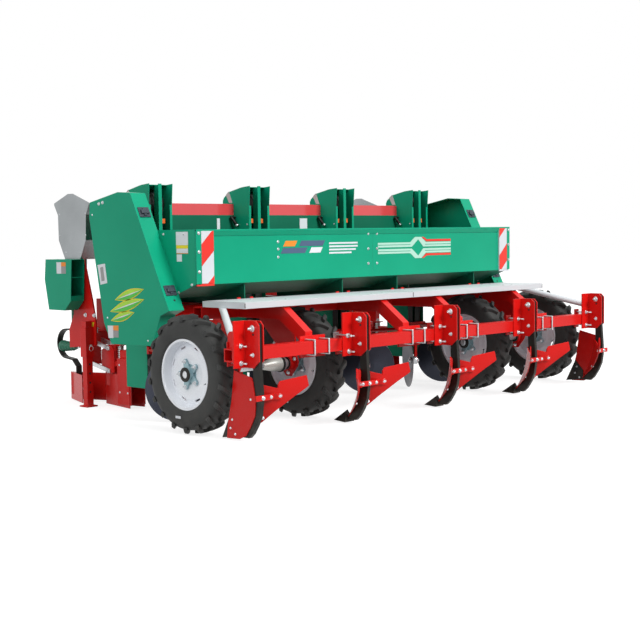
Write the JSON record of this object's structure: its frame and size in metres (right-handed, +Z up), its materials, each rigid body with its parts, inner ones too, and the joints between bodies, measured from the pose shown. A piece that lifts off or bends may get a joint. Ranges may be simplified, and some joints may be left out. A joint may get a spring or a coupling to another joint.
{
  "type": "four-row potato planter with ridging bodies",
  "caption": "Mounted potato planter: steel potato hopper with cup-belt towers, fertilizer bin, two wheel axles, covering discs, ridging bodies on a rear toolbar, parking stands",
  "frame": {"origin": "On the ground, at the middle of the bounding box of the whole machine", "axes": "+X to the right of the direction of travel, +Y forward to the tractor, +Z up"},
  "size_m": [3.81, 2.7956, 1.534],
  "materials": {
    "red_paint": "gloss",
    "green_paint": "gloss",
    "black_steel": "satin",
    "disc_steel": "satin",
    "zinc_steel": "satin",
    "step_grey": "satin",
    "tyre_rubber": "matte",
    "rim_paint": "gloss",
    "stainless": "brushed",
    "belt_rubber": "matte",
    "hose_green": "matte",
    "spring_steel": "satin"
  },
  "bodies": {
    "frame": {"bearing_hangers": "red_paint", "belt_drums": "zinc_steel", "cross_beams": "red_paint", "cup_belts": "belt_rubber", "disc_carriers": "red_paint", "fertilizer_hopper": "stainless", "fertilizer_hoses": "hose_green", "frame_side_plates": "red_paint", "front_openers": "red_paint", "front_toolbar": "red_paint", "furrow_openers": "red_paint", "headstock": "red_paint", "hopper_floor": "green_paint", "hopper_front_wall": "green_paint", "hopper_rear_panels": "green_paint", "hopper_sides": "green_paint", "hopper_supports": "red_paint", "main_rails": "red_paint", "metering_boxes": "green_paint", "opener_units": "red_paint", "parallel_links": "zinc_steel", "rear_toolbar": "red_paint", "ridger_plates": "red_paint", "ridger_shares": "black_steel", "ridger_straps": "red_paint", "shank_brackets": "red_paint", "shanks": "black_steel", "side_cover_left": "green_paint", "side_cover_right": "green_paint", "spring_tines": "black_steel", "stand_sleeves": "red_paint", "step_board": "step_grey", "step_stays": "zinc_steel", "toolbar_arms": "red_paint", "top_beam": "red_paint", "tower_fins": "green_paint", "tower_housings": "green_paint", "u_bolts": "zinc_steel", "unit_springs": "spring_steel"},
    "axle_left_body": {"axle_left": "zinc_steel", "rims_left": "rim_paint", "tyres_left": "tyre_rubber"},
    "axle_right_body": {"axle_right": "zinc_steel", "rims_right": "rim_paint", "tyres_right": "tyre_rubber"},
    "stand_left_body": {"stand_left": "red_paint"},
    "stand_right_body": {"stand_right": "red_paint"},
    "lid_left": {"fertilizer_lid_left": "stainless"},
    "lid_right": {"fertilizer_lid_right": "stainless"},
    "body_disc_1_left": {"disc_1_left": "disc_steel"},
    "body_disc_1_right": {"disc_1_right": "disc_steel"},
    "body_disc_2_left": {"disc_2_left": "disc_steel"},
    "body_disc_2_right": {"disc_2_right": "disc_steel"},
    "body_disc_3_left": {"disc_3_left": "disc_steel"},
    "body_disc_3_right": {"disc_3_right": "disc_steel"},
    "body_disc_4_left": {"disc_4_left": "disc_steel"},
    "body_disc_4_right": {"disc_4_right": "disc_steel"}
  },
  "joints": [
    {"name": "wheels_left_spin", "type": "hinge", "parent": "frame", "child": "axle_left_body", "pos_m": [-1.35, -0.667, 0.36], "axis": [1, 0, 0], "continuous": true},
    {"name": "wheels_right_spin", "type": "hinge", "parent": "frame", "child": "axle_right_body", "pos_m": [1.35, -0.667, 0.36], "axis": [1, 0, 0], "continuous": true},
    {"name": "stand_left_slide", "type": "slide", "parent": "frame", "child": "stand_left_body", "axis": [0, 0, 1], "range_m": [0, 0.2]},
    {"name": "stand_right_slide", "type": "slide", "parent": "frame", "child": "stand_right_body", "axis": [0, 0, 1], "range_m": [0, 0.2]},
    {"name": "lid_left_hinge", "type": "hinge", "parent": "frame", "child": "lid_left", "pos_m": [-0.75, 0.762, 1.418], "axis": [1, 0, 0], "range_deg": [0, 95]},
    {"name": "lid_right_hinge", "type": "hinge", "parent": "frame", "child": "lid_right", "pos_m": [0.75, 0.762, 1.418], "axis": [1, 0, 0], "range_deg": [0, 95]},
    {"name": "disc_1_left_spin", "type": "hinge", "parent": "frame", "child": "body_disc_1_left", "pos_m": [-1.61, -0.263, 0.214], "axis": [-0.788, -0.6157, 0], "continuous": true},
    {"name": "disc_1_right_spin", "type": "hinge", "parent": "frame", "child": "body_disc_1_right", "pos_m": [-1.09, -0.263, 0.214], "axis": [0.788, -0.6157, 0], "continuous": true},
    {"name": "disc_2_left_spin", "type": "hinge", "parent": "frame", "child": "body_disc_2_left", "pos_m": [-0.71, -0.263, 0.214], "axis": [-0.788, -0.6157, 0], "continuous": true},
    {"name": "disc_2_right_spin", "type": "hinge", "parent": "frame", "child": "body_disc_2_right", "pos_m": [-0.19, -0.263, 0.214], "axis": [0.788, -0.6157, 0], "continuous": true},
    {"name": "disc_3_left_spin", "type": "hinge", "parent": "frame", "child": "body_disc_3_left", "pos_m": [0.19, -0.263, 0.214], "axis": [-0.788, -0.6157, 0], "continuous": true},
    {"name": "disc_3_right_spin", "type": "hinge", "parent": "frame", "child": "body_disc_3_right", "pos_m": [0.71, -0.263, 0.214], "axis": [0.788, -0.6157, 0], "continuous": true},
    {"name": "disc_4_left_spin", "type": "hinge", "parent": "frame", "child": "body_disc_4_left", "pos_m": [1.09, -0.263, 0.214], "axis": [-0.788, -0.6157, 0], "continuous": true},
    {"name": "disc_4_right_spin", "type": "hinge", "parent": "frame", "child": "body_disc_4_right", "pos_m": [1.61, -0.263, 0.214], "axis": [0.788, -0.6157, 0], "continuous": true}
  ]
}
